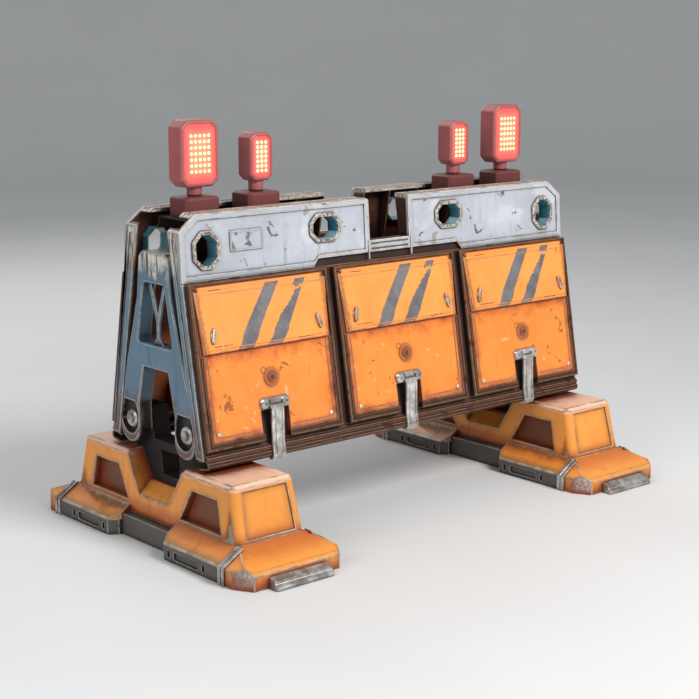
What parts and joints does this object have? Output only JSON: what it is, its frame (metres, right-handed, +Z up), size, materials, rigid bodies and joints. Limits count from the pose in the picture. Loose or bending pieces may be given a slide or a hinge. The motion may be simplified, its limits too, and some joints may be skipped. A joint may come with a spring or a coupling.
{
  "type": "traffic barrier",
  "caption": "Free-standing road barrier: two leaning boards with storage flaps and strap latches on end frames and ballast feet, with swivelling warning lamps on top.",
  "frame": {"origin": "on the ground under the middle of the barrier", "axes": "+X along the boards, -Y towards the front board's viewer, +Z up"},
  "size_m": [2.004, 1.31, 1.41],
  "materials": {
    "frame_brown": "worn brown paint over rusty steel",
    "plate_white": "worn grey-white paint",
    "sleeve_teal": "worn teal paint",
    "frame_blue": "worn blue-grey paint",
    "bare_steel": "worn bare steel",
    "latch_chrome": "scratched chrome",
    "dark_steel": "dark sooty steel",
    "foot_orange": "worn orange paint",
    "skid_grey": "scuffed dark grey",
    "panel_orange": "worn orange paint",
    "flap_orange": "light orange paint, worn",
    "button_zinc": "zinc plated",
    "lamp_base_red": "matt red-brown",
    "battery_black": "matt",
    "lamp_pink": "faded red plastic",
    "lens_red": "translucent red lens"
  },
  "bodies": {
    "barrier": {"front_board": "frame_brown", "rear_board": "frame_brown", "front_top_plate": "plate_white", "rear_top_plate": "plate_white", "opening_sleeves": "sleeve_teal", "edge_channels": "frame_blue", "corner_bolts": "bare_steel", "hinge_rods": "bare_steel", "latch_plates": "latch_chrome", "end_frame_left": "frame_blue", "end_frame_right": "frame_blue", "hub_bolts": "bare_steel", "saddles": "dark_steel", "foot_left": "foot_orange", "foot_right": "foot_orange", "skid_left": "skid_grey", "skid_right": "skid_grey", "foot_bands": "bare_steel", "toe_plates": "skid_grey", "lamp_trays": "dark_steel", "lamp_bases": "lamp_base_red", "batteries": "battery_black", "front_cassette_left": "panel_orange", "front_cassette_centre": "panel_orange", "front_cassette_right": "panel_orange", "rear_cassette_left": "panel_orange", "rear_cassette_centre": "panel_orange", "rear_cassette_right": "panel_orange"},
    "front_flap_left": {"front_flap_left": "flap_orange"},
    "front_latch_left": {"front_latch_left": "latch_chrome"},
    "front_button_left_a": {"front_button_left_a": "button_zinc"},
    "front_button_left_b": {"front_button_left_b": "button_zinc"},
    "front_flap_centre": {"front_flap_centre": "flap_orange"},
    "front_latch_centre": {"front_latch_centre": "latch_chrome"},
    "front_button_centre_a": {"front_button_centre_a": "button_zinc"},
    "front_button_centre_b": {"front_button_centre_b": "button_zinc"},
    "front_flap_right": {"front_flap_right": "flap_orange"},
    "front_latch_right": {"front_latch_right": "latch_chrome"},
    "front_button_right_a": {"front_button_right_a": "button_zinc"},
    "front_button_right_b": {"front_button_right_b": "button_zinc"},
    "rear_flap_right": {"rear_flap_right": "flap_orange"},
    "rear_latch_right": {"rear_latch_right": "latch_chrome"},
    "rear_button_right_a": {"rear_button_right_a": "button_zinc"},
    "rear_button_right_b": {"rear_button_right_b": "button_zinc"},
    "rear_flap_centre": {"rear_flap_centre": "flap_orange"},
    "rear_latch_centre": {"rear_latch_centre": "latch_chrome"},
    "rear_button_centre_a": {"rear_button_centre_a": "button_zinc"},
    "rear_button_centre_b": {"rear_button_centre_b": "button_zinc"},
    "rear_flap_left": {"rear_flap_left": "flap_orange"},
    "rear_latch_left": {"rear_latch_left": "latch_chrome"},
    "rear_button_left_a": {"rear_button_left_a": "button_zinc"},
    "rear_button_left_b": {"rear_button_left_b": "button_zinc"},
    "lamp_1": {"lamp_head_1": "lamp_pink", "lens_1": "lens_red"},
    "lamp_2": {"lamp_head_2": "lamp_pink", "lens_2": "lens_red"},
    "lamp_3": {"lamp_head_3": "lamp_pink", "lens_3": "lens_red"},
    "lamp_4": {"lamp_head_4": "lamp_pink", "lens_4": "lens_red"}
  },
  "joints": [
    {"name": "front_flap_left_hinge", "type": "hinge", "parent": "barrier", "child": "front_flap_left", "pos_m": [-0.606, -0.18915, 0.88144], "axis": [-1, 0, 0], "range_deg": [0, 100]},
    {"name": "front_latch_left_hinge", "type": "hinge", "parent": "barrier", "child": "front_latch_left", "pos_m": [-0.606, -0.27747, 0.47661], "axis": [-1, 0, 0], "range_deg": [0, 105]},
    {"name": "front_button_left_a_turn", "type": "hinge", "parent": "front_flap_left", "child": "front_button_left_a", "pos_m": [-0.826, -0.23239, 0.73166], "axis": [0, 0.9737, -0.2278], "range_deg": [0, 90]},
    {"name": "front_button_left_b_turn", "type": "hinge", "parent": "front_flap_left", "child": "front_button_left_b", "pos_m": [-0.386, -0.23239, 0.73166], "axis": [0, -0.9737, 0.2278], "range_deg": [0, 90]},
    {"name": "front_flap_centre_hinge", "type": "hinge", "parent": "barrier", "child": "front_flap_centre", "pos_m": [0, -0.18915, 0.88144], "axis": [-1, 0, 0], "range_deg": [0, 100]},
    {"name": "front_latch_centre_hinge", "type": "hinge", "parent": "barrier", "child": "front_latch_centre", "pos_m": [0, -0.27747, 0.47661], "axis": [-1, 0, 0], "range_deg": [0, 105]},
    {"name": "front_button_centre_a_turn", "type": "hinge", "parent": "front_flap_centre", "child": "front_button_centre_a", "pos_m": [-0.22, -0.23239, 0.73166], "axis": [0, 0.9737, -0.2278], "range_deg": [0, 90]},
    {"name": "front_button_centre_b_turn", "type": "hinge", "parent": "front_flap_centre", "child": "front_button_centre_b", "pos_m": [0.22, -0.23239, 0.73166], "axis": [0, -0.9737, 0.2278], "range_deg": [0, 90]},
    {"name": "front_flap_right_hinge", "type": "hinge", "parent": "barrier", "child": "front_flap_right", "pos_m": [0.606, -0.18915, 0.88144], "axis": [-1, 0, 0], "range_deg": [0, 100]},
    {"name": "front_latch_right_hinge", "type": "hinge", "parent": "barrier", "child": "front_latch_right", "pos_m": [0.606, -0.27747, 0.47661], "axis": [-1, 0, 0], "range_deg": [0, 105]},
    {"name": "front_button_right_a_turn", "type": "hinge", "parent": "front_flap_right", "child": "front_button_right_a", "pos_m": [0.386, -0.23239, 0.73166], "axis": [0, 0.9737, -0.2278], "range_deg": [0, 90]},
    {"name": "front_button_right_b_turn", "type": "hinge", "parent": "front_flap_right", "child": "front_button_right_b", "pos_m": [0.826, -0.23239, 0.73166], "axis": [0, -0.9737, 0.2278], "range_deg": [0, 90]},
    {"name": "rear_flap_right_hinge", "type": "hinge", "parent": "barrier", "child": "rear_flap_right", "pos_m": [0.606, 0.18915, 0.88144], "axis": [1, 0, 0], "range_deg": [0, 100]},
    {"name": "rear_latch_right_hinge", "type": "hinge", "parent": "barrier", "child": "rear_latch_right", "pos_m": [0.606, 0.27747, 0.47661], "axis": [1, 0, 0], "range_deg": [0, 105]},
    {"name": "rear_button_right_a_turn", "type": "hinge", "parent": "rear_flap_right", "child": "rear_button_right_a", "pos_m": [0.826, 0.23239, 0.73166], "axis": [0, -0.9737, -0.2278], "range_deg": [0, 90]},
    {"name": "rear_button_right_b_turn", "type": "hinge", "parent": "rear_flap_right", "child": "rear_button_right_b", "pos_m": [0.386, 0.23239, 0.73166], "axis": [0, 0.9737, 0.2278], "range_deg": [0, 90]},
    {"name": "rear_flap_centre_hinge", "type": "hinge", "parent": "barrier", "child": "rear_flap_centre", "pos_m": [0, 0.18915, 0.88144], "axis": [1, 0, 0], "range_deg": [0, 100]},
    {"name": "rear_latch_centre_hinge", "type": "hinge", "parent": "barrier", "child": "rear_latch_centre", "pos_m": [0, 0.27747, 0.47661], "axis": [1, 0, 0], "range_deg": [0, 105]},
    {"name": "rear_button_centre_a_turn", "type": "hinge", "parent": "rear_flap_centre", "child": "rear_button_centre_a", "pos_m": [0.22, 0.23239, 0.73166], "axis": [0, -0.9737, -0.2278], "range_deg": [0, 90]},
    {"name": "rear_button_centre_b_turn", "type": "hinge", "parent": "rear_flap_centre", "child": "rear_button_centre_b", "pos_m": [-0.22, 0.23239, 0.73166], "axis": [0, 0.9737, 0.2278], "range_deg": [0, 90]},
    {"name": "rear_flap_left_hinge", "type": "hinge", "parent": "barrier", "child": "rear_flap_left", "pos_m": [-0.606, 0.18915, 0.88144], "axis": [1, 0, 0], "range_deg": [0, 100]},
    {"name": "rear_latch_left_hinge", "type": "hinge", "parent": "barrier", "child": "rear_latch_left", "pos_m": [-0.606, 0.27747, 0.47661], "axis": [1, 0, 0], "range_deg": [0, 105]},
    {"name": "rear_button_left_a_turn", "type": "hinge", "parent": "rear_flap_left", "child": "rear_button_left_a", "pos_m": [-0.386, 0.23239, 0.73166], "axis": [0, -0.9737, -0.2278], "range_deg": [0, 90]},
    {"name": "rear_button_left_b_turn", "type": "hinge", "parent": "rear_flap_left", "child": "rear_button_left_b", "pos_m": [-0.826, 0.23239, 0.73166], "axis": [0, 0.9737, 0.2278], "range_deg": [0, 90]},
    {"name": "lamp_1_swivel", "type": "hinge", "parent": "barrier", "child": "lamp_1", "pos_m": [-0.726, 0, 1.159], "axis": [0, 0, 1], "range_deg": [-90, 90]},
    {"name": "lamp_2_swivel", "type": "hinge", "parent": "barrier", "child": "lamp_2", "pos_m": [-0.47, 0, 1.159], "axis": [0, 0, 1], "range_deg": [-90, 90]},
    {"name": "lamp_3_swivel", "type": "hinge", "parent": "barrier", "child": "lamp_3", "pos_m": [0.47, 0, 1.159], "axis": [0, 0, 1], "range_deg": [-90, 90]},
    {"name": "lamp_4_swivel", "type": "hinge", "parent": "barrier", "child": "lamp_4", "pos_m": [0.726, 0, 1.159], "axis": [0, 0, 1], "range_deg": [-90, 90]}
  ]
}
